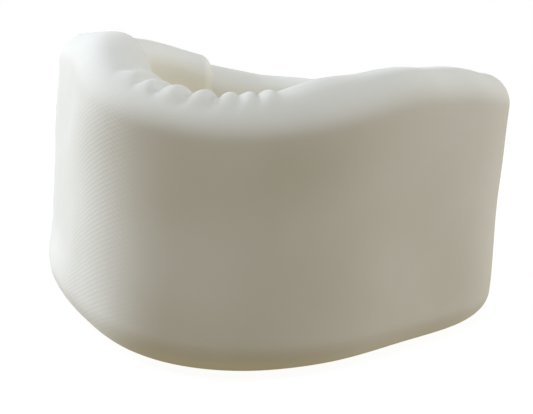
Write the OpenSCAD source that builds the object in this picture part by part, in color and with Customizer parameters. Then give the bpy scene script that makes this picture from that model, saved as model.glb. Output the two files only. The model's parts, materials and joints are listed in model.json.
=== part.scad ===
// Soft foam cervical collar, closed as worn: a padded band wrapped into a ring, with its
// outer arm lapped over its inner arm behind the wearer's right ear. Millimetres, +Z up.
// The origin is the middle of the collar's footprint on the base plane, the chin faces -Y and
// the wearer's left is +X. Angles run round the ring from the chin (0) towards +X (positive).

/* [Ring] */
// Mean radius of the outer face of the closed ring
ring_r = 85; // [80:1:96]
// How much longer the ring is from front to back than across
oval = 2; // [0:0.5:4]
// How far the chin end comes to a nose, with the two rear corners to match
nose = 7.5; // [3:0.5:8]
// How far the front, back and sides stand out as rounded corners
square = 2; // [0:0.5:3]
// How far it bulges at the left front and right rear, as a soft band never closes evenly
skew = 1.5; // [-2:0.5:2]

/* [Band] */
// Thickness of the covered band
wall_t = 24; // [20:1:28]
// Height at the chin recess
chin_h = 78; // [72:1:86]
// Height at the cheeks
cheek_h = 90; // [86:1:100]
// Height of the outer arm at the nape
nape_h = 79; // [72:1:86]
// Height of the inner arm at its end
inner_end_h = 84; // [76:1:87]
// Radius of the top edges
top_edge_r = 9; // [7:0.5:10]
// Radius of the base edges
base_edge_r = 10; // [7:0.5:10]
// Radius round the free ends of the arms
end_edge_r = 9; // [7:0.5:10]
// Thickness of the knitted cover
cover_t = 1; // [0.8:0.1:1.5]

/* [Closure] */
// Angle where the inner arm ends, on the wearer's right
inner_end = -147; // [-150:1:-145]
// Angle where the outer arm ends, past the inner arm's end
outer_end = 240; // [236:1:244]
// Clear space between the lapped arms, which holds the tapes
tape_gap = 4.2; // [4.2:0.1:6]
// Thickness of each fastening tape
tape_t = 1.2; // [0.8:0.1:1.2]
// Width of both tapes
tape_w = 50; // [38:1:52]
// Pitch of the stitches round the tapes
stitch_pitch = 4; // [3:0.5:8]

/* [Flexing] */
// Angle of the front flex lines either side of the chin
front_flex = 58; // [54:1:62]
// Angle of the outer arm's rear flex line
left_rear_flex = 117; // [112:1:120]
// Angle of the inner arm's rear flex line
right_rear_flex = -98; // [-100:1:-96]
// Angle of the line where the closure end peels away
peel_line = 188; // [184:1:192]

/* [Hidden] */

foam_slack = 0.1;      // air between the foam and the cover's inner face
flex_gap = 0.3;        // air between neighbouring lengths of band at a flex line
step_angle = 6;        // target angle between the cross-sections
arc_steps = 3;         // facets in each rounded edge of a cross-section
end_steps = 4;         // cross-sections in the rounding of a free end
min_edge_r = 1;        // smallest edge radius left where an end is rounded off

lift_start = 130;      // the outer arm leaves the ring here
lift_end = 202;        // and runs clear outside the inner arm from here
cheek_at = 58;         // angle where the top has risen to cheek height
inner_fall = [118, 155];   // the inner arm's top falls to the height of its end between these
outer_fall = [118, 155];   // and the outer arm's falls to nape height between these

knit_white = [0.90, 0.89, 0.84];
foam_cream = [0.93, 0.90, 0.78];
tape_white = [0.95, 0.95, 0.93];
hook_grey = [0.88, 0.88, 0.86];
thread_white = [0.97, 0.97, 0.95];

stitch_size = [2.6, 0.5, 0.35];   // length, width and height of one stitch above its tape
stitch_inset = 2.5;              // stitch line in from the edge of the tape
stitch_clear = 0.1;              // keeps a stitch off the facets of its tape
tape_clear = 0.2;                // keeps a tape off the facets of the cover
tape_step = 3;                   // target angle between a tape's bends
stitch_rise = tape_clear + tape_t + stitch_clear + stitch_size[2]/2;
tape_base_z = (nape_h - tape_w)/2;
loop_span = [inner_end + 5, -112];
hook_span = [inner_end + 362, outer_end - 5];
seam_w = 1.6;                    // width of the sewn ridge that closes each arm's end
seam_proud = 0.8;
seam_clear = 0.05;               // keeps the ridge off the flat of the end

// ---- plan of the ring ----
function smooth01(t) = let (c = min(max(t, 0), 1)) c*c*(3 - 2*c);
function outward(a) = [sin(a), -cos(a)];
function along(a) = [cos(a), sin(a)];
function radius(a) = ring_r + oval*cos(2*a) + skew*sin(2*a) + nose*cos(3*a) + square*cos(4*a);
function radius_rate(a) = -2*oval*sin(2*a) + 2*skew*cos(2*a) - 3*nose*sin(3*a) - 4*square*sin(4*a);
function heading(a) = let (v = radius_rate(a)*outward(a) + radius(a)*along(a)) v/norm(v);
function facing(a) = let (h = heading(a)) [h[1], -h[0]];
function lift(a) = (wall_t + tape_gap)*smooth01((a - lift_start)/(lift_end - lift_start));
// A point at angle a, off millimetres out from the band's outer face, from the ring's own centre
function ring_point(a, off) = radius(a)*outward(a) + (lift(a) + off)*facing(a);
function wall_point(a, off) = ring_point(a, off) - footprint_mid;
// Length of band per degree, measured half-way through the wall
function per_degree(a) = norm(ring_point(a + 0.5, -wall_t/2) - ring_point(a - 0.5, -wall_t/2));

// ---- side profile of the band ----
function fall(a) = a < 0
    ? (cheek_h - inner_end_h)*smooth01((-a - inner_fall[0])/(inner_fall[1] - inner_fall[0]))
    : (cheek_h - nape_h)*smooth01((a - outer_fall[0])/(outer_fall[1] - outer_fall[0]));
function band_height(a) = chin_h + (cheek_h - chin_h)*smooth01(abs(a)/cheek_at) - fall(a);

// ---- cross-section of the band, pulled in by inset on every side ----
function edge_arc(cx, cz, r, from) = [for (i = [0:arc_steps])
    let (t = from + 90*i/arc_steps) [cx + r*cos(t), cz + r*sin(t)]];
function section(a, inset) =
    let (h = band_height(a),
         top_r = max(min_edge_r, top_edge_r - inset),
         base_r = max(min_edge_r, base_edge_r - inset),
         o = -inset, i = inset - wall_t, top = h - inset)
    concat(edge_arc(o - base_r, inset + base_r, base_r, -90),
           edge_arc(o - top_r, top - top_r, top_r, 0),
           edge_arc(i + top_r, top - top_r, top_r, 90),
           edge_arc(i + base_r, inset + base_r, base_r, 180));
function placed(a, points) = [for (p = points) let (w = wall_point(a, p[0])) [w[0], w[1], p[1]]];

// ---- stations [angle, inset] along one length of band ----
// dir is +1 or -1 and says which way round the ring the free end lies.
function steps_between(a0, a1, step) = max(2, ceil(abs(a1 - a0)/step));
function run(a0, a1, inset) = let (n = steps_between(a0, a1, step_angle))
    [for (i = [0:n]) [a0 + (a1 - a0)*i/n, inset]];
function rounded_end(a_end, dir, inset) =
    let (r = end_edge_r - inset, per = per_degree(a_end))
    [for (i = [0:end_steps]) let (t = 90*i/end_steps)
        [a_end - dir*(inset + r*(1 - sin(t)))/per, inset + r*(1 - cos(t))]];
function free_run(a0, a_end, dir, inset) =
    let (tip = rounded_end(a_end, dir, inset), body = run(a0, tip[0][0], inset))
    concat([for (i = [0:len(body) - 2]) body[i]], tip);
function flex_edge(a, side) = a + side*flex_gap/2/per_degree(a);

// ---- the lengths of band, from flex line to flex line, as stations at one inset ----
function chin_run(inset) = run(flex_edge(-front_flex, 1), flex_edge(front_flex, -1), inset);
function left_side_run(inset) = run(flex_edge(front_flex, 1), flex_edge(left_rear_flex, -1), inset);
function left_rear_run(inset) = run(flex_edge(left_rear_flex, 1), flex_edge(peel_line, -1), inset);
function closure_end_run(inset) = free_run(flex_edge(peel_line, 1), outer_end, 1, inset);
function right_side_run(inset) = run(flex_edge(right_rear_flex, 1), flex_edge(-front_flex, -1), inset);
function right_end_run(inset) = free_run(flex_edge(right_rear_flex, -1), inner_end, -1, inset);

// The middle of the footprint, which becomes the origin
footprint = [for (s = concat(chin_run(0), left_side_run(0), left_rear_run(0), closure_end_run(0),
                             right_side_run(0), right_end_run(0))) ring_point(s[0], -s[1])];
function middle(values) = (min(values) + max(values))/2;
footprint_mid = [middle([for (p = footprint) p[0]]), middle([for (p = footprint) p[1]])];

// ---- solids swept through stations ----
function skin_points(stations) = [for (s = stations) each placed(s[0], section(s[0], s[1]))];
// Two triangles for each panel between ring i and ring i + 1; flip turns the skin inside out
function skin_faces(rings, n, base, flip) = [for (i = [0:rings - 2]) for (j = [0:n - 1])
    let (k = (j + 1)%n, a = base + i*n + j, b = base + i*n + k, c = a + n, d = b + n)
    each flip ? [[a, c, b], [b, c, d]] : [[a, b, c], [b, d, c]]];
function fan(n, base, flip) = [for (j = [1:n - 2])
    flip ? [base, base + j + 1, base + j] : [base, base + j, base + j + 1]];
// Joins the edge of the outer skin to the edge of the inner skin
function rim(n, outer, inner, flip) = [for (j = [0:n - 1])
    let (k = (j + 1)%n, a = outer + j, b = outer + k, c = inner + j, d = inner + k)
    each flip ? [[a, c, b], [b, c, d]] : [[a, b, c], [b, d, c]]];

section_n = 4*(arc_steps + 1);

// A solid length of band; dir tells which way the stations run round the ring
module solid_length(stations, dir) {
    n = section_n;
    last = (len(stations) - 1)*n;
    flip = dir < 0;
    polyhedron(points = skin_points(stations),
        faces = concat(skin_faces(len(stations), n, 0, flip), fan(n, 0, !flip), fan(n, last, flip)));
}

// A tube of cover over a length of band: open at the first station, and closed at the
// last one when closed is true
module cover_length(outer, inner, dir, closed) {
    n = section_n;
    base = len(outer)*n;
    outer_last = base - n;
    inner_last = base + (len(inner) - 1)*n;
    flip = dir < 0;
    ends = closed ? concat(fan(n, outer_last, flip), fan(n, inner_last, !flip))
                  : rim(n, outer_last, inner_last, flip);
    polyhedron(points = concat(skin_points(outer), skin_points(inner)),
        faces = concat(skin_faces(len(outer), n, 0, flip), skin_faces(len(inner), n, base, !flip),
                       rim(n, 0, base, !flip), ends));
}

foam_inset = cover_t + foam_slack;

// ---- fastening tapes ----
// A flat tape bent to the ring, between two offsets from the outer face
module tape(span, off0, off1) {
    n = steps_between(span[0], span[1], tape_step);
    z0 = tape_base_z;
    z1 = tape_base_z + tape_w;
    points = [for (i = [0:n]) let (a = span[0] + (span[1] - span[0])*i/n,
                                   p = wall_point(a, off0), q = wall_point(a, off1))
        each [[p[0], p[1], z0], [q[0], q[1], z0], [q[0], q[1], z1], [p[0], p[1], z1]]];
    polyhedron(points = points,
        faces = concat(skin_faces(n + 1, 4, 0, false), fan(4, 0, true), fan(4, 4*n, false)));
}

// One stitch lying along the tape (turn 0) or up it (turn 90)
module stitch(a, z, off, turn) {
    p = wall_point(a, off);
    face = facing(a);
    translate([p[0], p[1], z])
        rotate([0, 0, atan2(face[1], face[0]) + 90])
            rotate([0, turn, 0])
                cube([stitch_size[0], stitch_size[2], stitch_size[1]], center = true);
}

// A rectangle of stitches just inside the edge of a tape
module stitch_ring(span, off) {
    inset_a = stitch_inset/per_degree(span[0]);
    a0 = span[0] + inset_a;
    a1 = span[1] - inset_a;
    z0 = tape_base_z + stitch_inset;
    z1 = tape_base_z + tape_w - stitch_inset;
    cols = round((a1 - a0)*per_degree(a0)/stitch_pitch);
    rows = round((z1 - z0)/stitch_pitch);
    for (i = [0:cols]) for (z = [z0, z1]) stitch(a0 + (a1 - a0)*i/cols, z, off, 0);
    for (i = [1:rows - 1]) for (a = [a0, a1]) stitch(a, z0 + (z1 - z0)*i/rows, off, 90);
}

// The sewn ridge that closes the cover across the flat of an arm's end
module end_seam(a_end, dir) {
    mid = -wall_t/2;
    h = band_height(a_end);
    z0 = end_edge_r + 1;
    z1 = h - end_edge_r - 1;
    p = wall_point(a_end, mid);
    v = facing(a_end);
    translate([p[0], p[1], z0])
        rotate([0, 0, atan2(v[1], v[0])])
            translate([-seam_w/2, dir > 0 ? seam_clear : -seam_clear - seam_proud, 0])
                cube([seam_w, seam_proud, z1 - z0]);
}

module chin_foam() { color(foam_cream) solid_length(chin_run(foam_inset), 1); }
module left_side_foam() { color(foam_cream) solid_length(left_side_run(foam_inset), 1); }
module left_rear_foam() { color(foam_cream) solid_length(left_rear_run(foam_inset), 1); }
module closure_end_foam() { color(foam_cream) solid_length(closure_end_run(foam_inset), 1); }
module right_side_foam() { color(foam_cream) solid_length(right_side_run(foam_inset), 1); }
module right_end_foam() { color(foam_cream) solid_length(right_end_run(foam_inset), -1); }

module chin_cover() {
    color(knit_white) cover_length(chin_run(0), chin_run(cover_t), 1, false);
}
module left_side_cover() {
    color(knit_white) cover_length(left_side_run(0), left_side_run(cover_t), 1, false);
}
module left_rear_cover() {
    color(knit_white) cover_length(left_rear_run(0), left_rear_run(cover_t), 1, false);
}
module closure_end_cover() {
    color(knit_white) cover_length(closure_end_run(0), closure_end_run(cover_t), 1, true);
}
module right_side_cover() {
    color(knit_white) cover_length(right_side_run(0), right_side_run(cover_t), 1, false);
}
module right_end_cover() {
    color(knit_white) cover_length(right_end_run(0), right_end_run(cover_t), -1, true);
}

module hook_tape() {
    color(hook_grey) tape(hook_span, -wall_t - tape_clear - tape_t, -wall_t - tape_clear);
}
module loop_tape() { color(tape_white) tape(loop_span, tape_clear, tape_clear + tape_t); }
module hook_stitching() { color(thread_white) stitch_ring(hook_span, -wall_t - stitch_rise); }
module loop_stitching() { color(thread_white) stitch_ring(loop_span, stitch_rise); }
module left_end_seam() { color(thread_white) end_seam(outer_end, 1); }
module right_end_seam() { color(thread_white) end_seam(inner_end, -1); }

chin_foam();
left_side_foam();
left_rear_foam();
closure_end_foam();
right_side_foam();
right_end_foam();
chin_cover();
left_side_cover();
left_rear_cover();
closure_end_cover();
right_side_cover();
right_end_cover();
hook_tape();
loop_tape();
hook_stitching();
loop_stitching();
left_end_seam();
right_end_seam();
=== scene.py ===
"""Looks of the soft foam cervical collar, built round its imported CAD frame.

Metres, +Z up, the chin faces -Y and the wearer's left is +X. Angles run round the ring from the
chin (0 degrees) towards +X, as in the CAD.
"""
import json
import math

import bpy
import numpy as np
from mathutils import Matrix, Vector


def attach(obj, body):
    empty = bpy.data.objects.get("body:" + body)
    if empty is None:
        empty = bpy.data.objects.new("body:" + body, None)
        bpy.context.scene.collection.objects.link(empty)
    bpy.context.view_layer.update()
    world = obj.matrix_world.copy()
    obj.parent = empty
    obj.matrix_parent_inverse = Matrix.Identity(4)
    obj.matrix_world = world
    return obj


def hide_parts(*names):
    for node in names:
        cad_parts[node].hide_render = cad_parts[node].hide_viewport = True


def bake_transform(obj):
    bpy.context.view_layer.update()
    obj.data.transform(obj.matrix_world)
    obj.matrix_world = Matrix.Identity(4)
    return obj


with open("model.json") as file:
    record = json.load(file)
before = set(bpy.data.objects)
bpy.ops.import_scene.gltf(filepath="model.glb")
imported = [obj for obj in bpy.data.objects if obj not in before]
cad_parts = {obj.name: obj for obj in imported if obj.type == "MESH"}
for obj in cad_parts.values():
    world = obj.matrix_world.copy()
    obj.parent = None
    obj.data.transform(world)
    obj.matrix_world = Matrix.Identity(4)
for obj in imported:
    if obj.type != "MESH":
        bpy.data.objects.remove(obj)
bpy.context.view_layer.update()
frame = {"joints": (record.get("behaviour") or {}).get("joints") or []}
JOINTS = {joint["name"]: joint for joint in frame["joints"]}

MM = 0.001
TINY = 1e-12                   # keeps divisions by a length away from zero
UP = np.array([0, 0, 1.0])

# ---- the ring and its band: the CAD's driving dimensions ----
RING_R = 85*MM
OVAL = 2*MM
NOSE = 7.5*MM
SQUARE = 2*MM
SKEW = 1.5*MM
WALL_T = 24*MM
CHIN_H = 78*MM
CHEEK_H = 90*MM
NAPE_H = 79*MM
INNER_END_H = 84*MM
TOP_EDGE_R = 10.8*MM           # the CAD has 9 mm: soft foam rounds over further
BASE_EDGE_R = 10*MM
END_EDGE_R = 6.5*MM            # the CAD has 9 mm: a sewn end is squarer
COVER_T = 1.0*MM
FOAM_SLACK = 0.15*MM          # a little more than the CAD, so that smooth skins never touch
TAPE_GAP = 4.2*MM             # between the two arms, where the tapes lie

INNER_END = -147.0
OUTER_END = 240.0
LIFT_FROM, LIFT_TO = 130.0, 202.0
CHEEK_AT = 58.0
INNER_FALL = (118.0, 155.0)
OUTER_FALL = (118.0, 155.0)
FRONT_FLEX = 58.0
LEFT_REAR_FLEX = 117.0
RIGHT_REAR_FLEX = -98.0
PEEL_LINE = 188.0

# ---- how finely the band is meshed ----
STATION_STEP = 1.5*MM          # along the band, half-way through the wall
GATHERED = (-44.0, 24.0)       # stretch of the band that is meshed more finely,
FINE_STEP = 0.7*MM             # at this step
WALL_PARTS = 44                # steps up each face of the wall; these four are even, for the
ARC_PARTS = 12                 # cloth's half grid: round each edge,
FLAT_PARTS = 4                 # across the top
HALF_FLAT_PARTS = 2            # and across each half of the base
CAP_FLAT = 3                   # points to either side that a cap takes in one face
END_PARTS = 9                  # stations in each rounded end
END_DEPTH = 11.3*MM            # how far the section has closed up at an arm's end


# ---- plan of the ring ----
def smooth01(t):
    c = np.clip(t, 0.0, 1.0)
    return c*c*(3 - 2*c)


def unit(v):
    return v/np.maximum(np.linalg.norm(v, axis=-1, keepdims=True), TINY)


def outward(a):
    r = np.radians(a)
    return np.stack([np.sin(r), -np.cos(r)], -1)


def along(a):
    r = np.radians(a)
    return np.stack([np.cos(r), np.sin(r)], -1)


def radius(a):
    r = np.radians(a)
    return RING_R + OVAL*np.cos(2*r) + SKEW*np.sin(2*r) + NOSE*np.cos(3*r) + SQUARE*np.cos(4*r)


def radius_rate(a):
    r = np.radians(a)
    return (-2*OVAL*np.sin(2*r) + 2*SKEW*np.cos(2*r) - 3*NOSE*np.sin(3*r)
            - 4*SQUARE*np.sin(4*r))


def heading(a):
    return unit(radius_rate(a)[..., None]*outward(a) + radius(a)[..., None]*along(a))


def facing(a):
    h = heading(a)
    return np.stack([h[..., 1], -h[..., 0]], -1)


def lift(a):
    return (WALL_T + TAPE_GAP)*smooth01((a - LIFT_FROM)/(LIFT_TO - LIFT_FROM))


def ring_point(a, off):
    a = np.asarray(a, float)
    return radius(a)[..., None]*outward(a) + (lift(a) + off)[..., None]*facing(a)


# The CAD's origin is the middle of the footprint. Its hinge on the left front flex line is a
# point of the outer face, so the two together give the ring's own centre.
RING_CENTRE = np.array(JOINTS["left_arm_flex_front"]["pos_m"][:2]) - ring_point(FRONT_FLEX, 0.0)


def wall_point(a, off):
    return ring_point(a, off) + RING_CENTRE


def length_per_degree(a):
    """Length of one degree of the band, half-way through the wall."""
    half = 0.5
    step = ring_point(a + half, -WALL_T/2) - ring_point(a - half, -WALL_T/2)
    return np.linalg.norm(step, axis=-1)


# ---- side profile ----
def band_height(a):
    inner = smooth01((-a - INNER_FALL[0])/(INNER_FALL[1] - INNER_FALL[0]))
    outer = smooth01((a - OUTER_FALL[0])/(OUTER_FALL[1] - OUTER_FALL[0]))
    rise = smooth01(np.abs(a)/CHEEK_AT)
    fall = np.where(a < 0, (CHEEK_H - INNER_END_H)*inner, (CHEEK_H - NAPE_H)*outer)
    return CHIN_H + (CHEEK_H - CHIN_H)*rise - fall


# ---- stations along the band ----
# The visible pieces meet at these angles, where the bodies are stiff
SPLITS = [INNER_END, -78.0, -28.0, 87.0, 152.0, OUTER_END]
SAMPLES = 200                  # points at which a stretch is measured
FEWEST_STEPS = 4


def end_stations(a_end, direction, inset):
    """(angle, inset) from the body of an arm to its closed end, which lies towards direction."""
    turn = np.linspace(0, math.pi/2, END_PARTS + 1)
    back = inset + (END_EDGE_R - inset)*(1 - np.sin(turn))
    depth = inset + (END_DEPTH - inset)*(1 - np.cos(turn))
    return a_end - direction*back/length_per_degree(np.array(a_end)), depth


def stretch_angles(a0, a1):
    """Angles from a0 up to but not including a1, finer where the band is gathered."""
    cuts = [a0] + [c for c in GATHERED if a0 < c < a1] + [a1]
    angles = []
    for c0, c1 in zip(cuts, cuts[1:]):
        run = np.linspace(c0, c1, SAMPLES)
        length = np.mean(length_per_degree(run))*(c1 - c0)
        fine = GATHERED[0] <= (c0 + c1)/2 <= GATHERED[1]
        count = max(FEWEST_STEPS, round(length/(FINE_STEP if fine else STATION_STEP)))
        angles.append(np.linspace(c0, c1, count + 1)[:-1])
    return np.concatenate(angles)


def stations(inset):
    """Angles and insets from the inner arm's end to the outer arm's, and each split's index."""
    first_a, first_in = end_stations(INNER_END, -1, inset)
    last_a, last_in = end_stations(OUTER_END, 1, inset)
    stops = [first_a[0]] + SPLITS[1:-1] + [last_a[0]]
    body = [stretch_angles(a0, a1) for a0, a1 in zip(stops, stops[1:])]
    if sum(map(len, body)) % 2:                     # an odd number of stations suits the half grid
        body[-1] = np.linspace(stops[-2], stops[-1], len(body[-1]) + 2)[:-1]
    angles = np.concatenate([first_a[:0:-1]] + body + [last_a])
    insets = np.concatenate([first_in[:0:-1]] + [np.full(len(b), inset) for b in body] + [last_in])
    marks = np.cumsum([END_PARTS] + [len(b) for b in body])
    return angles, insets, [0] + list(marks[1:-1]) + [len(angles) - 1]


# ---- cross-section: points go round from the middle of the base, out, up, over and down ----
LEAST_EDGE_R = 0.3*MM


def section(h, inset):
    """x (outward from the outer face) and z of each point, for arrays of heights and insets."""
    half_wall = WALL_T/2 - inset
    top_r = np.minimum(np.maximum(TOP_EDGE_R - inset, LEAST_EDGE_R), half_wall)
    base_r = np.minimum(np.maximum(BASE_EDGE_R - inset, LEAST_EDGE_R), half_wall)
    xs, zs = [], []

    def straight(x0, z0, x1, z1, parts):
        for i in range(parts):
            t = i/parts
            xs.append(x0 + (x1 - x0)*t)
            zs.append(z0 + (z1 - z0)*t)

    def arc(cx, cz, r, start, parts):
        for i in range(parts):
            t = math.radians(start + 90*i/parts)
            xs.append(cx + r*math.cos(t))
            zs.append(cz + r*math.sin(t))

    outer, inner, low, high = -inset, inset - WALL_T, inset, h - inset
    mid = np.full_like(h, -WALL_T/2)
    straight(mid, low, outer - base_r, low, HALF_FLAT_PARTS)
    arc(outer - base_r, low + base_r, base_r, -90, ARC_PARTS)
    straight(outer, low + base_r, outer, high - top_r, WALL_PARTS)
    arc(outer - top_r, high - top_r, top_r, 0, ARC_PARTS)
    straight(outer - top_r, high, inner + top_r, high, FLAT_PARTS)
    arc(inner + top_r, high - top_r, top_r, 90, ARC_PARTS)
    straight(inner, high - top_r, inner, low + base_r, WALL_PARTS)
    arc(inner + base_r, low + base_r, base_r, 180, ARC_PARTS)
    straight(inner + base_r, low, mid, low, HALF_FLAT_PARTS)
    return np.stack(xs, -1), np.stack(zs, -1)


# ---- soft form of the cover ----
CROWN = 0.5*MM                 # how far the flat faces belly out
# How much further out the base of the wall is than the top,
LEAN = {"left": 1.76*MM, "right": -0.21*MM, "front": -1.10*MM}
LEAN_H = 85*MM                 # over this height,
# and how far the lower wall turns out
FLARE = {"left": 0.10*MM, "right": -1.01*MM, "front": 1.26*MM}
FLARE_H = 60*MM                # from this height down
# Where the wall is pushed out (or in) low down:
# (middle and half-width in degrees, how far, whole up to this height, gone above this one)
KICKS = ((-101, 46, -1.9*MM, 4.4*MM, 69*MM), (-55, 38, 2.6*MM, 7*MM, 22*MM),
         (-20, 37, -2.1*MM, 36.5*MM, 69.5*MM), (-2, 28, 2.0*MM, 15*MM, 60*MM))
# Where the rim stands above the CAD's (or sags): (middle and half-width in degrees, how far)
INNER_RIM = ((-54, 24, 2.6*MM), (-9, 34, -3.9*MM), (27, 13, 1.8*MM), (74, 18, 1.5*MM),
             (222, 26, 3.2*MM))
OUTER_RIM = ((6, 44, -3.6*MM), (74, 18, 1.5*MM), (222, 26, 3.2*MM))


def by_side(a, amounts):
    """Blends the left, right and front amounts round the ring."""
    r = np.radians(a)
    return (amounts["left"]*np.maximum(np.sin(r), 0)**2
            + amounts["right"]*np.maximum(-np.sin(r), 0)**2
            + amounts["front"]*np.maximum(np.cos(r), 0)**2)


def bump_at(a, middle, half):
    """1 at middle, falling smoothly to 0 at half degrees to either side."""
    return 1 - smooth01(np.abs(a - middle)/half)


def soft_offset(a, x, z, h):
    """Outward move of each section point: the wall's lean, flare and kicks and its faces' belly."""
    level = z/h
    tilt = by_side(a, LEAN)[:, None]*(0.5 - z/LEAN_H)
    flare = by_side(a, FLARE)[:, None]*np.clip(1 - z/FLARE_H, 0, 1)**2
    turned = (a + 180) % 360 - 180      # the outer arm follows the inner arm that it lies on
    kick = sum(far*bump_at(turned, at, half)[:, None]*(1 - smooth01((z - low)/(high - low)))
               for at, half, far, low, high in KICKS)
    belly = CROWN*np.clip(1 - (2*level - 1)**4, 0, 1)*np.clip(2*(x + WALL_T/2)/WALL_T, -1, 1)
    return tilt + flare + kick + belly


def rim_move(a, x, level):
    """How far the rim stands above (or sags below) the CAD's, on its inner and outer halves."""
    inner_half = smooth01(-x/WALL_T)
    inner = sum(far*bump_at(a, at, half) for at, half, far in INNER_RIM)
    outer = sum(far*bump_at(a, at, half) for at, half, far in OUTER_RIM)
    return (inner[:, None]*inner_half + outer[:, None]*(1 - inner_half))*level**3


LUMP_H = 0.30*MM               # height of the cover's unevenness
BROAD_LUMPS = (17*MM, 13*MM)   # scales of its broad lumps, along the band and round it,
SMALL_LUMPS = (9.5*MM, 8*MM)   # and of its smaller ones,
SMALL_PART = 0.7               # which have this part of the height
SWERVE, SWERVE_SCALE = 2.1, 23*MM   # and whose rows swerve by so many radians, on this scale
LUMPS_ABOVE = 6*MM             # the lumps fade out below this height, so that the base stands flat
UNEVEN = (-112, 196)           # angles between which the cover is uneven: no tape lies there
UNEVEN_FADE = 8                # degrees over which that changes


def lumps(u, v):
    """Slow unevenness of hand-cut foam under a knit tube."""
    broad = np.sin(u/BROAD_LUMPS[0] + 1.3)*np.sin(v/BROAD_LUMPS[1] + 0.4)
    swerve = SWERVE*np.sin(v/SWERVE_SCALE)
    small = np.sin(u/SMALL_LUMPS[0] + swerve + 0.9)*np.sin(v/SMALL_LUMPS[1] + 2.0)
    return LUMP_H*(broad + SMALL_PART*small)


def free_of_tapes(a):
    """1 where the cover is free to be uneven, 0 where a tape is sewn flat on it."""
    first, last = UNEVEN
    return smooth01((a - first)/UNEVEN_FADE)*(1 - smooth01((a - last)/UNEVEN_FADE))


# ---- gathers on the inner shoulder, where the cover is crowded behind the chin ----
CREASES = (-29, -21.5, -15, -6.5, 1.2, 6.8, 11.2, 15.5)   # angles of the creases between gathers
GATHER_H = 2.0*MM              # height of the widest gathers
GATHER_WIDTH = 8.0             # degrees between creases at which a gather has its full height
GATHER_SKEW = 1.15             # above 1 moves a gather's crest towards the wearer's left,
GATHER_ROUND = 0.75            # and below 1 makes its crest rounder and its creases sharper
GATHER_FROM = 3.0*MM           # the gathers rise from here, in from the outer face,
GATHER_OVER = 9.0*MM           # over this width
GATHER_BELOW = 6*MM            # they are whole down to this far below the rim,
GATHER_FALL = 22*MM            # and gone after this much more
GATHER_FADE = (-8.0, -25.0)    # they fade between these angles
GATHER_LEFT = 0.35             # to this part of their height
CREASE_SLANT = 7.0             # degrees each crease swings to the wearer's left on its way out,
SLANT_OVER = 16*MM             # over this width,
SHOULDER_AT = 21*MM            # from this far in, where the creases have the angles above
SLANT_FADE = (12, 30)          # no swing from this angle on; all of it this many degrees before


def gather_profile(a):
    """A row of pillows between the creases: round crests and sharp valleys."""
    wave = np.zeros_like(a)
    for c0, c1 in zip(CREASES, CREASES[1:]):
        t = np.clip((a - c0)/(c1 - c0), 0, 1)
        tall = min(1.0, (c1 - c0)/GATHER_WIDTH)
        wave = np.maximum(wave, tall*np.sin(math.pi*t**GATHER_SKEW)**GATHER_ROUND)
    return wave


def gathers(a, x, z, h):
    """How far the gathers stand out of the cover at each section point."""
    inward = -x
    swing = CREASE_SLANT*np.clip(SHOULDER_AT - inward, 0, SLANT_OVER)/SLANT_OVER
    place = a[:, None] - swing*smooth01((SLANT_FADE[0] - a)/SLANT_FADE[1])[:, None]
    rise = smooth01((inward - GATHER_FROM)/GATHER_OVER)
    deep = 1 - smooth01((h - z - GATHER_BELOW)/GATHER_FALL)
    fade = 1 - (1 - GATHER_LEFT)*smooth01((a - GATHER_FADE[0])/(GATHER_FADE[1] - GATHER_FADE[0]))
    return GATHER_H*fade[:, None]*gather_profile(place)*rise*deep


# ---- the band as a grid of points ----
class Band:
    """One skin of the band: points[station, place round the section], and lengths for the weave."""

    def __init__(self, inset, relief):
        self.angles, self.insets, self.marks = stations(inset)
        a = self.angles
        h = band_height(a)
        x, z = section(h, self.insets)
        height = h[:, None]
        self.u = self.lengths_along(a)
        self.v = self.lengths_round(x, z)
        out = x + soft_offset(a, x, z, height)
        normal = self.section_normals(x, z)
        swell = np.zeros_like(x)
        if relief:
            swell = gathers(a, x, z, height)
            uneven = smooth01(z/LUMPS_ABOVE)*free_of_tapes(a)[:, None]
            swell += lumps(self.u[:, None], self.v[:, :-1])*uneven
        out = out + swell*normal[..., 0]
        z = z + swell*normal[..., 1] + rim_move(a, x, z/height)
        plan = wall_point(a[:, None], out)
        self.points = np.concatenate([plan, np.maximum(z, 0)[..., None]], -1)
        self.inward = -x

    @staticmethod
    def lengths_along(a):
        mid = wall_point(a, np.full_like(a, -WALL_T/2))
        return np.concatenate([[0], np.cumsum(np.linalg.norm(np.diff(mid, axis=0), axis=-1))])

    @staticmethod
    def lengths_round(x, z):
        """Distance round each section, with one more column for the point where it closes."""
        ring = np.stack([x, z], -1)
        gap = np.linalg.norm(np.roll(ring, -1, 1) - ring, axis=-1)
        return np.concatenate([np.zeros((len(x), 1)), np.cumsum(gap, 1)], 1)

    @staticmethod
    def section_normals(x, z):
        """Outward normal of each section point, in the section's own plane."""
        dx = np.roll(x, -1, 1) - np.roll(x, 1, 1)
        dz = np.roll(z, -1, 1) - np.roll(z, 1, 1)
        return unit(np.stack([dz, -dx], -1))


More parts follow.
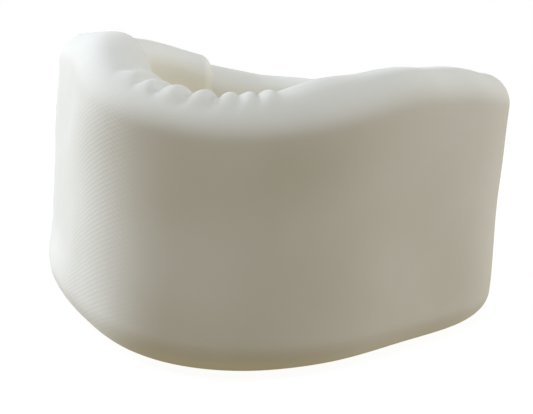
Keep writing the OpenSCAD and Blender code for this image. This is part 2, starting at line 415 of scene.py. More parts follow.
# ---- cloth: the cover settles over the foam, and its moves are carried to the fine grid ----
CLOTH_FRAMES = 20
CLOTH_PRESSURE = 4.0
CLOTH_MASS = 0.001             # light enough for the pressure to lift it at this size
CLOTH_GRIP = 0.3               # stiffness of the foam's hold on it
CLOTH_EXCESS = -0.14           # the gathered cloth is this much too long for its place
CLOTH_RISE = 1.6*MM            # no point moves further than this,
CLOTH_SINK = 0.5*MM            # or further than this into the wall, where the lining is
CLOTH_KEPT = 0.6               # share of spare cloth from which a move is kept whole
HELD, SUPPORTED, FREE = 1.0, 0.35, 0.04   # how firmly the foam holds each part
FREE_AT = 0.5                  # share of spare cloth from which a point is free
SPARE_ABOVE, SPARE_RISE = 50*MM, 15*MM   # spare cloth: from this height, whole after this rise
SPARE_PAST = 8                 # degrees of it past the outermost creases
HELD_BELOW = 2*MM              # the base is held,
HELD_OUTSIDE = (-104, 192)     # and so are the arms' ends, beyond these angles


def spare_cloth(band):
    """Share of the spare cloth at each point of the half grid."""
    inner = smooth01((band.inward[::2, ::2] - GATHER_FROM)/GATHER_OVER)
    near_rim = smooth01((band.points[::2, ::2, 2] - SPARE_ABOVE)/SPARE_RISE)
    middle, half = (CREASES[0] + CREASES[-1])/2, (CREASES[-1] - CREASES[0])/2
    gathered = bump_at(band.angles[::2][:, None], middle, half + SPARE_PAST)
    return gathered*inner*near_rim


def cloth_hold(band, spare):
    """How firmly each point of the half grid is held."""
    a = band.angles[::2][:, None]
    hold = SUPPORTED + (FREE - SUPPORTED)*np.minimum(spare/FREE_AT, 1)
    low = band.points[::2, ::2, 2] < HELD_BELOW
    return np.where(low | (a < HELD_OUTSIDE[0]) | (a > HELD_OUTSIDE[1]), HELD, hold)


def cloth_object(band, spare):
    """The half grid as a closed mesh, with the groups that the simulation needs."""
    points = band.points[::2, ::2]
    piece = new_mesh_object("cloth", points.reshape(-1, 3), closed_faces(*points.shape[:2]), None)
    for name, weights in (("hold", cloth_hold(band, spare)), ("taut", 1 - spare)):
        group = piece.vertex_groups.new(name=name)
        for index, weight in enumerate(weights.ravel()):
            group.add([index], float(weight), "REPLACE")
    return piece


def start_cloth(piece):
    cloth = piece.modifiers.new("cloth", "CLOTH")
    cloth.point_cache.frame_start, cloth.point_cache.frame_end = 1, CLOTH_FRAMES
    settings = cloth.settings
    settings.quality = 5
    settings.mass = CLOTH_MASS
    settings.tension_stiffness = settings.compression_stiffness = 20
    settings.shear_stiffness = 10
    settings.bending_stiffness = 0.3
    settings.air_damping = 2
    settings.use_pressure = True
    settings.uniform_pressure_force = CLOTH_PRESSURE
    settings.vertex_group_mass = "hold"
    settings.pin_stiffness = CLOTH_GRIP
    settings.vertex_group_shrink = "taut"
    settings.shrink_min, settings.shrink_max = CLOTH_EXCESS, 0.0
    settings.effector_weights.gravity = 0
    cloth.collision_settings.use_collision = False


def settled_moves(piece, rest):
    """Runs the cloth and returns how each of its points moved, within the caps."""
    scene = bpy.context.scene
    for step in range(1, CLOTH_FRAMES + 1):
        scene.frame_set(step)
    mesh = piece.evaluated_get(bpy.context.evaluated_depsgraph_get()).data
    settled = np.zeros(len(mesh.vertices)*3)
    mesh.vertices.foreach_get("co", settled)
    scene.frame_set(1)
    moves = settled.reshape(rest.shape) - rest
    far = np.linalg.norm(moves, axis=-1, keepdims=True)
    moves = moves*np.minimum(1, CLOTH_RISE/np.maximum(far, TINY))
    outward_way = grid_normals(rest)
    risen = np.sum(moves*outward_way, -1, keepdims=True)
    return moves + (np.maximum(risen, -CLOTH_SINK) - risen)*outward_way


def doubled(moves, rows):
    """Moves of the half grid, spread over every row and column of the fine grid."""
    wide = np.zeros((moves.shape[0], moves.shape[1]*2, 3))
    wide[:, ::2] = moves
    wide[:, 1::2] = (moves + np.roll(moves, -1, 1))/2
    tall = np.zeros((rows, wide.shape[1], 3))
    tall[::2] = wide
    tall[1:-1:2] = (wide[:-1] + wide[1:])/2
    soft = (np.roll(tall, 1, 1) + 2*tall + np.roll(tall, -1, 1))/4
    soft[1:-1] = (soft[:-2] + 2*soft[1:-1] + soft[2:])/4
    return soft


def settle(band):
    """Runs the cloth on the band, and keeps its moves where there is spare cloth."""
    spare = spare_cloth(band)
    piece = cloth_object(band, spare)
    start_cloth(piece)
    moves = settled_moves(piece, band.points[::2, ::2])*smooth01(spare/CLOTH_KEPT)[..., None]
    mesh = piece.data
    bpy.data.objects.remove(piece)
    bpy.data.meshes.remove(mesh)
    band.points = band.points + doubled(moves, len(band.points))


def grid_normals(points):
    """Smooth normals of a skin's points."""
    du = np.gradient(points, axis=0)
    dv = (np.roll(points, -1, 1) - np.roll(points, 1, 1))/2
    return unit(np.cross(du, dv))


# ---- meshes ----
def cap_faces(ring, n):
    """Closes a section: a face across its base, one across its top, and quads between its sides."""
    half, flat = n//2, CAP_FLAT
    faces = [[ring + j % n for j in [*range(flat + 1), *range(n - flat, n)]]]
    faces += [[ring + j, ring + j + 1, ring + n - j - 1, ring + n - j]
              for j in range(flat, half - flat)]
    return faces + [[ring + j for j in range(half - flat, half + flat + 1)]]


def skin_faces(rows, n, base):
    """Quads between rows of n points each, closed round each row."""
    faces = []
    for first in range(base, base + (rows - 1)*n, n):
        for j in range(n):
            k = (j + 1) % n
            faces.append([first + j, first + n + j, first + n + k, first + k])
    return faces


def rim_faces(outer, inner, n):
    """Quads between two rings of n points."""
    return [[outer + j, outer + (j + 1) % n, inner + (j + 1) % n, inner + j] for j in range(n)]


def flipped(faces):
    return [face[::-1] for face in faces]


def closed_faces(rows, n):
    """A skin that is capped at both ends."""
    return skin_faces(rows, n, 0) + cap_faces(0, n) + flipped(cap_faces((rows - 1)*n, n))


def new_mesh_object(name, points, faces, material):
    mesh = bpy.data.meshes.new(name)
    mesh.from_pydata([tuple(p) for p in points], [], faces)
    mesh.validate()
    if material:
        mesh.materials.append(material)
    piece = bpy.data.objects.new(name, mesh)
    bpy.context.scene.collection.objects.link(piece)
    return piece


def cover_piece(name, outer, inner, part, material):
    """The cover between two splits: an outer and an inner skin, joined where it is cut."""
    n = outer.points.shape[1]
    lo, hi = outer.marks[part], outer.marks[part + 1]
    rows = hi - lo + 1
    base = rows*n
    ends = ((0, lo == 0), ((rows - 1)*n, hi == len(outer.angles) - 1))
    faces = skin_faces(rows, n, 0)
    for ring, closed in ends:
        if closed:
            faces += flipped(cap_faces(ring, n)) if ring else cap_faces(ring, n)
    skin_count = len(faces)
    faces += flipped(skin_faces(rows, n, base))
    for ring, closed in ends:
        join = cap_faces(base + ring, n) if closed else flipped(rim_faces(ring, base + ring, n))
        faces += join if ring else flipped(join)
    points = [skin.points[lo:hi + 1].reshape(-1, 3) for skin in (outer, inner)]
    piece = new_mesh_object(name, np.concatenate(points), faces, material)
    weave_uv(piece.data, outer, lo, base)
    smooth_skin(piece.data, outer, lo, base, skin_count)
    return piece


def read(collection, name, width=1):
    """One property of every loop or polygon of a mesh, as an array."""
    values = np.zeros(len(collection)*width, int if width == 1 else float)
    collection.foreach_get(name, values)
    return values


def mesh_corners(mesh):
    """The vertex and the polygon of every corner, and the first corner of every polygon."""
    sizes = read(mesh.polygons, "loop_total")
    owner = np.repeat(np.arange(len(sizes)), sizes)
    return read(mesh.loops, "vertex_index"), owner, read(mesh.polygons, "loop_start")


def weave_uv(mesh, band, lo, base):
    """UVs in metres along the band and round it, so that the knit keeps one scale everywhere."""
    n = band.points.shape[1]
    vertex, owner, starts = mesh_corners(mesh)
    row, col = (vertex % base)//n + lo, vertex % n
    low_col = np.minimum.reduceat(col, starts)[owner]
    high_col = np.maximum.reduceat(col, starts)[owner]
    wraps = (high_col - low_col > n//2) & (col == 0)
    uv = np.stack([band.u[row], band.v[row, np.where(wraps, n, col)]], -1)
    mesh.uv_layers.new(name="Weave").data.foreach_set("uv", uv.ravel())


def smooth_skin(mesh, band, lo, base, skin_count):
    """Shades the outer skin with the whole band's normals, so that no cut shows."""
    n = band.points.shape[1]
    mesh.polygons.foreach_set("use_smooth", np.ones(len(mesh.polygons), bool))
    vertex, owner, _ = mesh_corners(mesh)
    normals = read(mesh.polygons, "normal", 3).reshape(-1, 3)[owner]
    on_skin = (owner < skin_count) & (vertex < base)
    normals[on_skin] = band.normals[vertex[on_skin]//n + lo, vertex[on_skin] % n]
    mesh.normals_split_custom_set([tuple(x) for x in normals])
    mesh.update()


def foam_piece(name, band, part, material):
    """A solid length of foam core between two splits."""
    points = band.points[band.marks[part]:band.marks[part + 1] + 1]
    faces = closed_faces(*points.shape[:2])
    piece = new_mesh_object(name, points.reshape(-1, 3), faces, material)
    piece.data.polygons.foreach_set("use_smooth", np.ones(len(faces), bool))
    return piece


# ---- materials ----
def start_material(name, roughness):
    """A material with a principled shader, the shader, and the tree to build on."""
    material = bpy.data.materials.new(name)
    material.use_nodes = True
    tree = Tree(material)
    tree.nodes.clear()
    out = tree.nodes.new("ShaderNodeOutputMaterial")
    shader = tree.nodes.new("ShaderNodeBsdfPrincipled")
    shader.inputs["Roughness"].default_value = roughness
    tree.links.new(shader.outputs[0], out.inputs[0])
    return material, shader, tree


class Tree:
    """Short ways to add and join shader nodes."""

    def __init__(self, material):
        self.nodes = material.node_tree.nodes
        self.links = material.node_tree.links

    def put(self, target, value):
        if isinstance(value, bpy.types.NodeSocket):
            self.links.new(value, target)
        else:
            target.default_value = value

    def math(self, operation, *values):
        node = self.nodes.new("ShaderNodeMath")
        node.operation = operation
        for socket, value in zip(node.inputs, values):
            self.put(socket, value)
        return node.outputs[0]

    def split_uv(self, name):
        uv = self.nodes.new("ShaderNodeUVMap")
        uv.uv_map = name
        split = self.nodes.new("ShaderNodeSeparateXYZ")
        self.links.new(uv.outputs[0], split.inputs[0])
        return split.outputs[0], split.outputs[1]

    def position(self):
        return self.nodes.new("ShaderNodeTexCoord").outputs["Object"]

    def noise(self, vector, scale, detail=3.0, rough=0.6):
        node = self.nodes.new("ShaderNodeTexNoise")
        self.put(node.inputs["Vector"], vector)
        node.inputs["Scale"].default_value = scale
        node.inputs["Detail"].default_value = detail
        node.inputs["Roughness"].default_value = rough
        return node.outputs["Fac"]

    def mix(self, factor, first, second):
        node = self.nodes.new("ShaderNodeMix")
        node.data_type = "RGBA"
        self.put(node.inputs[0], factor)
        self.put(node.inputs[6], first)
        self.put(node.inputs[7], second)
        return node.outputs[2]

    def ramp(self, value, low, high):
        node = self.nodes.new("ShaderNodeMapRange")
        self.put(node.inputs["Value"], value)
        node.inputs["From Min"].default_value = low
        node.inputs["From Max"].default_value = high
        return node.outputs[0]

    def bump(self, height, distance, strength):
        node = self.nodes.new("ShaderNodeBump")
        self.put(node.inputs["Height"], height)
        node.inputs["Distance"].default_value = distance
        node.inputs["Strength"].default_value = strength
        return node.outputs[0]


LATTICE_ALONG = 2.5*MM         # repeat of the knit's staggered stitches along the band
LATTICE_ROUND = 1.5*MM         # and round it
STRETCHED = (-41, -31, -19, -7)    # the knit is open between the middle two of these angles and
STRETCHED_BELOW = (90*MM, 74*MM)   # below the rim (distances round the section); towards the outer
CLOSED_KNIT = 0.10             # two it closes, and elsewhere it shows this much of its relief
WANDER_SCALE, WANDER = 55.0, 1.6   # its rows wander by up to half so many radians
FUZZ_SCALE, FUZZ = 2600.0, 0.3     # fuzz, and its part of the relief
PATCH_SCALE, PATCH_TONE = 28.0, 0.16   # slow patches of shade
PATCH_EDGES = (0.35, 0.65)
STITCH_GAP_PAINTED_SHADE = 0.22                # how much painted shade darkens the hollows between the stitches
KNIT_DEPTH, KNIT_STRENGTH = 0.10*MM, 0.4
# KNIT_SHADE is the darker end of the knit's random patches of tone and of its painted shade between
# the stitches
KNIT_LIGHT = (0.82, 0.818, 0.80, 1)
KNIT_SHADE = (0.64, 0.627, 0.585, 1)
FOAM_LIGHT, FOAM_SHADE = (0.84, 0.79, 0.60, 1), (0.62, 0.56, 0.38, 1)


def knit_material(band):
    """Fine knit: a staggered lattice of small raised stitches, with painted shade between them and
    a soft fuzz over it.
    """
    material, shader, t = start_material("knit_stockinette", 0.92)
    u, v = t.split_uv("Weave")
    place = t.position()
    drift = t.math("SUBTRACT", t.noise(place, WANDER_SCALE, 2.0), 0.5)
    wander = t.math("MULTIPLY", drift, WANDER)
    phase_u = t.math("ADD", t.math("MULTIPLY", u, 2*math.pi/LATTICE_ALONG), wander)
    phase_v = t.math("ADD", t.math("MULTIPLY", v, 2*math.pi/LATTICE_ROUND), wander)
    lattice = t.math("MULTIPLY", t.math("COSINE", phase_u), t.math("COSINE", phase_v))
    stitch = t.math("ADD", t.math("MULTIPLY", lattice, 0.5), 0.5)
    first, whole, ends, last = np.interp(STRETCHED, band.angles, band.u)
    stretched = t.math("MINIMUM", t.ramp(u, first, whole), t.ramp(u, last, ends))
    stretched = t.math("MULTIPLY", stretched, t.ramp(v, *STRETCHED_BELOW))
    opened = t.math("ADD", t.math("MULTIPLY", stretched, 1 - CLOSED_KNIT), CLOSED_KNIT)
    fuzz = t.noise(place, FUZZ_SCALE, 2.0)
    height = t.math("ADD", t.math("MULTIPLY", stitch, opened), t.math("MULTIPLY", fuzz, FUZZ))
    patches = t.ramp(t.noise(place, PATCH_SCALE), *PATCH_EDGES)
    # Painted shade: the hollows between the raised stitches are darkened, more so where the knit is
    # open
    gap = t.math("MULTIPLY", t.math("SUBTRACT", 1.0, stitch), opened)
    tone = t.math("ADD", t.math("MULTIPLY", patches, PATCH_TONE), t.math("MULTIPLY", gap, STITCH_GAP_PAINTED_SHADE))
    t.put(shader.inputs["Base Color"], t.mix(tone, KNIT_LIGHT, KNIT_SHADE))
    shader.inputs["Specular IOR Level"].default_value = 0.15
    shader.inputs["Sheen Weight"].default_value = 0.25
    shader.inputs["Sheen Roughness"].default_value = 0.45
    shader.inputs["Sheen Tint"].default_value = (1.0, 0.99, 0.97, 1)
    t.put(shader.inputs["Normal"], t.bump(height, KNIT_DEPTH, KNIT_STRENGTH))
    return material


def foam_material():
    """Open-cell foam: cream, with fine cells whose hollows are painted darker as shade."""
    material, shader, t = start_material("open_cell_foam", 0.95)
    cells = t.nodes.new("ShaderNodeTexVoronoi")
    t.put(cells.inputs["Vector"], t.position())
    cells.inputs["Scale"].default_value = 1400.0
    # Painted shade: each cell is darker towards its hollow, where the bump sinks
    tone = t.ramp(cells.outputs["Distance"], 0.0, 0.6)
    t.put(shader.inputs["Base Color"], t.mix(tone, FOAM_SHADE, FOAM_LIGHT))
    t.put(shader.inputs["Normal"], t.bump(cells.outputs["Distance"], 0.3*MM, 0.8))
    return material


# ---- the pieces ----
COVER_PIECES = [
    # name, body before, body after, flex line, half-width of the bend, CAD nodes it stands for
    ("right_end", "right_end", "right_side", RIGHT_REAR_FLEX, 12*MM, ["right_end"]),
    ("right_side", "right_side", "chin_section", -FRONT_FLEX, 16*MM, ["right_side"]),
    ("chin", "chin_section", "left_side", FRONT_FLEX, 16*MM, ["chin", "left_side"]),
    ("left_rear", "left_side", "left_rear", LEFT_REAR_FLEX, 16*MM, ["left_rear"]),
    ("closure_end", "left_rear", "closure_end", PEEL_LINE, 18*MM, ["closure_end"]),
]


def bend_across(piece):
    """Bakes a piece's placement into its mesh."""
    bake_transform(piece)


def build_band():
    outer = Band(0.0, True)
    settle(outer)
    outer.normals = grid_normals(outer.points)
    lining = Band(COVER_T, False)
    core = Band(COVER_T + FOAM_SLACK, False)
    knit, foam = knit_material(outer), foam_material()
    for part, (name, before, after, flex, half_width, stands_for) in enumerate(COVER_PIECES):
        cover = cover_piece(name + "_knit_cover", outer, lining, part, knit)
        filling = foam_piece(name + "_foam_core", core, part, foam)
        for piece, kind, slot in ((cover, "_cover", "knit"), (filling, "_foam", "foam")):
            bend_across(piece)
            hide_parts(*[node + kind for node in stands_for])


# ---- small parts: everything here is threads and tapes on the arms' ends ----
def add_tubes(parts, lines, binormals, radius_m, sides):
    """Adds a round thread along each of lines[thread, point], which all lie across binormals."""
    count, points = lines.shape[:2]
    b = np.broadcast_to(binormals[:, None], lines.shape)
    normal = np.cross(unit(np.gradient(lines, axis=1)), b)
    turn = np.arange(sides)*2*math.pi/sides
    ring = (lines[:, :, None] + radius_m*(np.cos(turn)[:, None]*normal[:, :, None]
                                          + np.sin(turn)[:, None]*b[:, :, None]))
    for k in range(count):
        base = parts.add(ring[k].reshape(-1, 3))
        faces = skin_faces(points, sides, base)
        first = [base + j for j in range(sides)]
        last = [base + (points - 1)*sides + j for j in range(sides)]
        parts.faces += faces + [first, last[::-1]]


class Parts:
    """Points and faces of a piece that is made of many small shapes."""

    def __init__(self):
        self.points, self.faces, self.count = [], [], 0

    def add(self, points):
        base = self.count
        self.points.append(points)
        self.count += len(points)
        return base

    def build(self, name, material, smooth=True):
        piece = new_mesh_object(name, np.concatenate(self.points), self.faces, material)
        piece.data.polygons.foreach_set("use_smooth", [smooth]*len(self.faces))
        return piece


class Face:
    """The outer face (side 1) or inner face (side -1) of the band, where tapes lie."""

    def __init__(self, side):
        self.side = side

    def point(self, a, z, rise):
        """A point at angle a and height z, rise metres off the face."""
        a, z = np.broadcast_arrays(np.asarray(a, float), np.asarray(z, float))
        flat_a, flat_z = a.ravel(), z.ravel()
        x = np.full_like(flat_a, 0.0 if self.side > 0 else -WALL_T)
        soft = soft_offset(flat_a, x[:, None], flat_z[:, None], band_height(flat_a)[:, None])[:, 0]
        rise = np.broadcast_to(rise, a.shape).ravel()
        plan = wall_point(flat_a, x + soft + self.side*rise)
        return np.concatenate([plan, flat_z[:, None]], 1).reshape(a.shape + (3,))

    def normal(self, a):
        n = self.side*facing(np.asarray(a, float))
        return np.concatenate([n, np.zeros(n.shape[:-1] + (1,))], -1)

    def level(self, a):
        """The level direction that lies in the face."""
        return np.cross(UP, self.normal(a))


TAPE_W = 50*MM
TAPE_Z = (NAPE_H - TAPE_W)/2
TAPE_CORNER = 3*MM
TAPE_OFF = 0.04*MM             # the tapes' backs lie this far off the cover
TAPE_COLUMNS, TAPE_ROWS = 40, 24
HOOK_SPAN = (INNER_END + 360 + 2, OUTER_END - 5)   # from just past the inner arm's end
LOOP_SPAN = (INNER_END + 5, -112.0)
HOOK_BACKING = 0.55*MM
LOOP_BACKING = 0.65*MM
ROOTED = 0.9                   # hooks and loops start at this part of the backing's thickness
HOOK_PITCH, HOOK_MARGIN = 1.5*MM, 1.2*MM
HOOK_STEM, HOOK_CROOK, HOOK_R = 0.38*MM, 0.20*MM, 0.09*MM
HOOK_BEND = np.radians(np.linspace(0, 200, 7))
LOOPS, LOOP_SEED = 3200, 11
LOOP_MARGIN = 0.6*MM
LOOP_REACH = (0.35*MM, 0.65*MM)    # least and greatest half-width of a loop,
LOOP_TALL = 0.8                # its height as a part of that,
LOOP_TIP = 0.6                 # how far it leans,
LOOP_R = 0.055*MM              # and its thread
STITCH_INSET = 2.5*MM
STITCH_PITCH = 4*MM
STITCH_LENGTH = 3.0*MM
STITCH_RISE, STITCH_DIP = 0.34*MM, 0.22*MM   # height of a stitch's arch, and how deep its ends dip
THREAD_R = 0.24*MM


def tape_sheet(parts, face, span, low, high):
    """A flat tape with rounded corners, between two distances off a face of the band."""
    columns, rows = TAPE_COLUMNS, TAPE_ROWS
    t = np.linspace(0, 1, columns + 1)
    a = span[0] + (span[1] - span[0])*t
    length = float(length_per_degree(np.mean(span)))*(span[1] - span[0])
    in_corner = np.maximum(TAPE_CORNER - np.minimum(t, 1 - t)*length, 0)
    nip = TAPE_CORNER - np.sqrt(np.maximum(TAPE_CORNER**2 - in_corner**2, 0))
    level = np.linspace(0, 1, rows + 1)
    z = TAPE_Z + nip[:, None] + (TAPE_W - 2*nip[:, None])*level[None]
    grid_a = np.broadcast_to(a[:, None], z.shape)
    near = parts.add(face.point(grid_a, z, low).reshape(-1, 3))
    far = parts.add(face.point(grid_a, z, high).reshape(-1, 3))
    n = rows + 1

    def quad(p, q, r, w, turn):
        parts.faces.append([w, r, q, p] if turn else [p, q, r, w])

    for i in range(columns):
        for j in range(rows):
            k = i*n + j
            quad(far + k, far + k + n, far + k + n + 1, far + k + 1, face.side < 0)
            quad(near + k, near + k + n, near + k + n + 1, near + k + 1, face.side > 0)
        for edge, turn in ((0, face.side > 0), (rows, face.side < 0)):
            k = i*n + edge
            quad(far + k, far + k + n, near + k + n, near + k, turn)
    for row, turn in ((0, face.side < 0), (columns*n, face.side > 0)):
        for j in range(rows):
            k = row + j
            quad(far + k, far + k + 1, near + k + 1, near + k, turn)


def spread(span, pitch, margin):
    """Staggered places over a tape, as angles and heights."""
    per = float(length_per_degree(np.mean(span)))
    columns = int((abs(span[1] - span[0])*per - 2*margin)/pitch)
    rows = int((TAPE_W - 2*margin)/pitch)
    i, j = np.meshgrid(np.arange(columns + 1), np.arange(rows + 1), indexing="ij")
    a = span[0] + (margin + (i + 0.5*(j % 2))*pitch)/per
    z = TAPE_Z + margin + j*pitch
    inside = a < span[1] - margin/per
    return a[inside], z[inside]


def hook_tape(material):
    """Moulded hook tape: a backing sheet with staggered rows of small J-shaped hooks."""
    face, parts = Face(-1), Parts()
    tape_sheet(parts, face, HOOK_SPAN, TAPE_OFF, HOOK_BACKING)
    a, z = spread(HOOK_SPAN, HOOK_PITCH, HOOK_MARGIN)
    root = face.point(a, z, HOOK_BACKING*ROOTED)
    out = face.normal(a)
    side = np.where(np.round(z/HOOK_PITCH).astype(int)[:, None] % 2, 1.0, -1.0)*UP
    stem = np.concatenate([[0.0], HOOK_STEM + HOOK_CROOK*np.sin(HOOK_BEND)])
    reach = np.concatenate([[0.0], HOOK_CROOK*(1 - np.cos(HOOK_BEND))])
    lines = root[:, None] + stem[:, None]*out[:, None] + reach[:, None]*side[:, None]
    add_tubes(parts, lines, np.cross(out, side), HOOK_R, 4)
    return parts.build("hook_tape_moulded", material, smooth=False)


def loop_tape(material):
    """Loop tape: a woven backing under a pile of fine random loops."""
    face, parts = Face(1), Parts()
    tape_sheet(parts, face, LOOP_SPAN, TAPE_OFF, LOOP_BACKING)
    rng = np.random.default_rng(LOOP_SEED)
    inset = LOOP_MARGIN/float(length_per_degree(np.mean(LOOP_SPAN)))
    a = rng.uniform(LOOP_SPAN[0] + inset, LOOP_SPAN[1] - inset, LOOPS)
    z = rng.uniform(TAPE_Z + LOOP_MARGIN, TAPE_Z + TAPE_W - LOOP_MARGIN, LOOPS)
    root = face.point(a, z, LOOP_BACKING*ROOTED)
    out = face.normal(a)
    turn = rng.uniform(0, math.pi, LOOPS)[:, None]
    across = np.cos(turn)*face.level(a) + np.sin(turn)*UP
    size = rng.uniform(*LOOP_REACH, LOOPS)[:, None]
    tip = rng.uniform(-LOOP_TIP, LOOP_TIP, LOOPS)[:, None]
    bend = np.linspace(0, math.pi, 6)
    other = np.cross(out, across)
    lines = (root[:, None] - (size*np.cos(bend))[:, :, None]*across[:, None]
             + (LOOP_TALL*size*np.sin(bend))[:, :, None]*(out + tip*other)[:, None])
    add_tubes(parts, lines, other, LOOP_R, 3)
    return parts.build("loop_tape_pile", material)


def stitch_places(span):
    """(angle, height, direction up the tape or along it) of each stitch round a tape."""
    per = float(length_per_degree(np.mean(span)))
    inset = STITCH_INSET/per
    a0, a1 = span[0] + inset, span[1] - inset
    z0, z1 = TAPE_Z + STITCH_INSET, TAPE_Z + TAPE_W - STITCH_INSET
    columns = round((a1 - a0)*per/STITCH_PITCH)
    rows = round((z1 - z0)/STITCH_PITCH)
    places = [(a0 + (a1 - a0)*(i + 0.5)/columns, z, 0) for i in range(columns) for z in (z0, z1)]
    places += [(a, z0 + (z1 - z0)*(j + 0.5)/rows, 1) for j in range(rows) for a in (a0, a1)]
    return np.array(places)


def tape_stitching(name, face, span, rise, material):
    """A row of lock stitches round a tape: each dips into the tape at its ends."""
    places = stitch_places(span)
    a, z, upright = places[:, 0], places[:, 1], places[:, 2:3]
    middle = face.point(a, z, rise)
    out = face.normal(a)
    run = upright*UP + (1 - upright)*face.level(a)
    t = np.linspace(-1, 1, 9)
    arch = STITCH_RISE*(1 - t**4) - STITCH_DIP
    lines = (middle[:, None] + (STITCH_LENGTH/2*t)[:, None]*run[:, None]
             + arch[:, None]*out[:, None])
    parts = Parts()
    add_tubes(parts, lines, np.cross(out, run), THREAD_R, 6)
    return parts.build(name, material)


SEAM_PLACE = 0.15*MM           # how far the seam's middle stands out of the end
SEAM_CLEAR = 0.5*MM            # space between the seam and the end's rounded corners
SEAM_R, SEAM_STEPS = 0.62*MM, 60
SEAM_WANDER, SEAM_WAVE = 0.12*MM, 3.1*MM   # how far it wanders sideways, and on what scale
WRAP_PITCH, WRAP_STEPS = 1.5*MM, 8
WRAP_HALF_W, WRAP_R = 0.80*MM, 0.16*MM     # the thread round it: half-width of a turn, thickness


def end_seam(name, a_end, direction, material):
    """The overlocked ridge that closes the knit tube at an arm's end, wrapped by a thread."""
    end = np.array(a_end)
    z0, z1 = END_DEPTH + SEAM_CLEAR, float(band_height(end)) - END_DEPTH - SEAM_CLEAR
    base = np.append(wall_point(end, -WALL_T/2), 0.0)
    out = direction*np.append(heading(end), 0.0)
    side = np.append(facing(end), 0.0)
    parts = Parts()
    z = np.linspace(z0, z1, SEAM_STEPS)
    wander = SEAM_WANDER*np.sin(z/SEAM_WAVE)
    core = base + z[:, None]*UP + wander[:, None]*side + SEAM_PLACE*out
    add_tubes(parts, core[None], side[None], SEAM_R, 8)
    wraps = int((z1 - z0)/WRAP_PITCH)
    t = np.linspace(0, 1, wraps*WRAP_STEPS + 1)
    phase = 2*math.pi*wraps*t
    coil = (base + (z0 + (z1 - z0)*t)[:, None]*UP + (WRAP_HALF_W*np.cos(phase))[:, None]*side
            + (SEAM_PLACE + SEAM_R*np.sin(phase))[:, None]*out)
    add_tubes(parts, coil[None], UP[None], WRAP_R, 5)
    return parts.build(name, material)


THREAD_LIGHT, THREAD_SHADE = (0.86, 0.85, 0.80, 1), (0.70, 0.68, 0.62, 1)
# name, light, shade, scale of the tone's noise
HOOK_NYLON = ("moulded_hook_nylon", (0.74, 0.74, 0.70, 1), (0.60, 0.60, 0.56, 1), 900)
LOOP_NYLON = ("loop_pile_nylon", (0.85, 0.85, 0.82, 1), (0.70, 0.69, 0.65, 1), 2200)


def tape_material(name, colour, shade, scale):
    """Brushed or moulded nylon tape: a near-white with fine broken tone."""
    material, shader, t = start_material(name, 0.55)
    speckle = t.noise(t.position(), scale, 4.0, 0.7)
    t.put(shader.inputs["Base Color"], t.mix(t.ramp(speckle, 0.35, 0.7), colour, shade))
    t.put(shader.inputs["Normal"], t.bump(speckle, 0.12*MM, 0.6))
    return material


def thread_material():
    """Twisted polyester thread: pale, with a faint sheen and a fine broken tone."""
    material, shader, t = start_material("sewing_thread", 0.5)
    twist = t.noise(t.position(), 5200.0, 1.0)
    t.put(shader.inputs["Base Color"], t.mix(twist, THREAD_LIGHT, THREAD_SHADE))
    shader.inputs["Sheen Weight"].default_value = 0.3
    t.put(shader.inputs["Normal"], t.bump(twist, 0.1*MM, 0.5))
    return material


def build_closure():
    thread = thread_material()
    hook = hook_tape(tape_material(*HOOK_NYLON))
    loop = loop_tape(tape_material(*LOOP_NYLON))
    hook_thread = tape_stitching("hook_tape_stitches", Face(-1), HOOK_SPAN, HOOK_BACKING, thread)
    loop_thread = tape_stitching("loop_tape_stitches", Face(1), LOOP_SPAN, LOOP_BACKING, thread)
    left = end_seam("left_arm_end_seam", OUTER_END, 1, thread)
    right = end_seam("right_arm_end_seam", INNER_END, -1, thread)
    for piece, body, node, slot in ((hook, "closure_end", "hook_tape", "hook"),
                                    (loop, "right_end", "loop_tape", "loop"),
                                    (hook_thread, "closure_end", "hook_stitching", "thread"),
                                    (loop_thread, "right_end", "loop_stitching", "thread"),
                                    (left, "closure_end", "left_end_seam", "thread"),
                                    (right, "right_end", "right_end_seam", "thread")):
        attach(piece, body)
        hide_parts(node)


# ---- floor, light and camera ----
FLOOR_HALF, FLOOR_DROP = 20.0, 0.3*MM   # half-width, and how far it lies below the collar
FLOOR_COLOUR = (0.12, 0.12, 0.12, 1)
# Painted shadow: the grey of the floor that the camera sees round the collar
FLOOR_PAINTED_SHADOW = (0.94, 0.94, 0.94, 1)
FLOOR_FADE = (0.12, 0.45)      # distances between which the floor seen by the camera turns from its painted shadow to white
FLOOR_LIGHT = (0.310, 0.258, 0.152, 1)
ROOM_LIGHT = (0.140, 0.110, 0.055, 1)
WHITE = (1, 1, 1, 1)
LIGHTS = (
    # name, azimuth, elevation, distance, size, power, colour
    ("window", -104, 11, 1.1, 0.7, 16.2, (0.84, 0.91, 1.0)),
    ("overhead", 0, 74, 1.1, 0.9, 8.1, (0.86, 0.93, 1.0)),
    ("rear_right", 124, 7, 1.1, 0.8, 7.2, (0.98, 0.98, 0.97)),
)
# Light that gets in through the knit: size, power, colour, height, and how far back it aims
GLOW_SIZE, GLOW_POWER, GLOW_COLOUR = 90*MM, 0.022, (1.0, 0.84, 0.36)
GLOW_Z, GLOW_BACK = 5*MM, 60*MM


def area_light(name, place, aim, size, power, colour):
    data = bpy.data.lights.new(name, "AREA")
    data.shape = "DISK"
    data.size = size
    data.energy = power
    data.color = colour
    light = bpy.data.objects.new(name, data)
    light.location = place
    light.visible_camera = False
    light.rotation_euler = (Vector(aim) - Vector(place)).to_track_quat("-Z", "Y").to_euler()
    bpy.context.scene.collection.objects.link(light)


def from_azimuth(azimuth, elevation, distance):
    """A place seen from the ring's centre. Azimuths run from the chin's side towards +X."""
    az, el = math.radians(azimuth), math.radians(elevation)
    flat = distance*math.cos(el)
    return (RING_CENTRE[0] + flat*math.sin(az), RING_CENTRE[1] - flat*math.cos(az),
            CHEEK_H/2 + distance*math.sin(el))


def by_camera_ray(tree, seen, unseen):
    """seen for camera rays and unseen for every other ray."""
    rays = tree.nodes.new("ShaderNodeLightPath")
    return tree.mix(rays.outputs["Is Camera Ray"], unseen, seen)


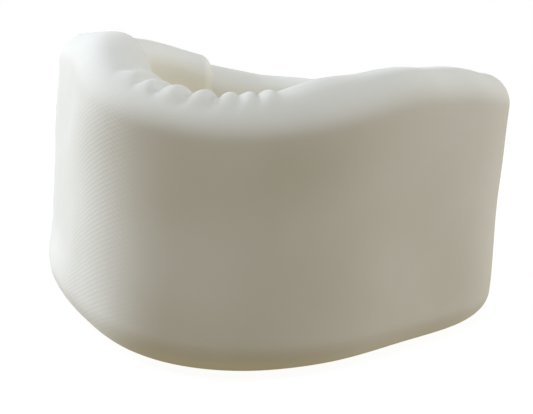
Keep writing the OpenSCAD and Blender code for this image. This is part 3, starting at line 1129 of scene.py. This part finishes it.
def floor_material():
    """Pale floor with a painted shadow round the collar that fades to the room's white, and that
    glows to light the collar warmly from below.
    """
    material, shader, t = start_material("pale_floor", 0.9)
    shader.inputs["Base Color"].default_value = FLOOR_COLOUR
    shader.inputs["Specular IOR Level"].default_value = 0.0
    away = t.nodes.new("ShaderNodeVectorMath")
    away.operation = "LENGTH"
    t.put(away.inputs[0], t.position())
    # Painted shadow round the collar, fading to white further off
    seen = t.mix(t.ramp(away.outputs["Value"], *FLOOR_FADE), FLOOR_PAINTED_SHADOW, WHITE)
    t.put(shader.inputs["Emission Color"], by_camera_ray(t, seen, FLOOR_LIGHT))
    shader.inputs["Emission Strength"].default_value = 1.0
    return material


def white_room():
    """A world that the camera sees as white, and that lights the collar warmly and weakly."""
    world = bpy.data.worlds.new("white_room")
    world.use_nodes = True
    tree = Tree(world)
    tree.nodes.clear()
    out, shader = tree.nodes.new("ShaderNodeOutputWorld"), tree.nodes.new("ShaderNodeBackground")
    tree.put(shader.inputs[0], by_camera_ray(tree, WHITE, ROOM_LIGHT))
    tree.links.new(shader.outputs[0], out.inputs[0])
    bpy.context.scene.world = world


def studio():
    square = ((-1, -1), (1, -1), (1, 1), (-1, 1))
    places = [(FLOOR_HALF*x, FLOOR_HALF*y, -FLOOR_DROP) for x, y in square]
    new_mesh_object("floor", places, [[0, 1, 2, 3]], floor_material())
    aim = (0, 0, CHEEK_H/2)
    for name, azimuth, elevation, distance, size, power, colour in LIGHTS:
        area_light(name, from_azimuth(azimuth, elevation, distance), aim, size, power, colour)
    x, y = map(float, RING_CENTRE)
    area_light("inside_glow", (x, y, GLOW_Z), (x, y + GLOW_BACK, CHEEK_H),
               GLOW_SIZE, GLOW_POWER, GLOW_COLOUR)
    white_room()
    bpy.context.scene.view_settings.view_transform = "Standard"


CAMERA = {"azimuth": 12.68, "distance": 322.8*MM, "height": 89.9*MM, "pitch": 7.38, "yaw": -1.81,
          "roll": -5.90, "focal": 1.616, "shift": (0.0498, -0.0754)}
SENSOR_W = 36.0


def camera():
    """A camera round the ring's centre. CAMERA's focal length and shift are in image widths."""
    c = CAMERA
    az = math.radians(c["azimuth"])
    data = bpy.data.cameras.new("camera")
    data.sensor_width = SENSOR_W
    data.lens = c["focal"]*SENSOR_W
    data.shift_x, data.shift_y = -c["shift"][0], c["shift"][1]
    data.clip_start = 0.01
    view = bpy.data.objects.new("camera", data)
    turn = math.radians(c["azimuth"] + c["yaw"])
    view.rotation_euler = (Matrix.Rotation(turn, 3, "Z")
                           @ Matrix.Rotation(math.pi/2 - math.radians(c["pitch"]), 3, "X")
                           @ Matrix.Rotation(-math.radians(c["roll"]), 3, "Z")).to_euler()
    view.location = (RING_CENTRE[0] + c["distance"]*math.sin(az),
                     RING_CENTRE[1] - c["distance"]*math.cos(az), c["height"])
    bpy.context.scene.collection.objects.link(view)
    bpy.context.scene.camera = view


build_band()
build_closure()
studio()
camera()
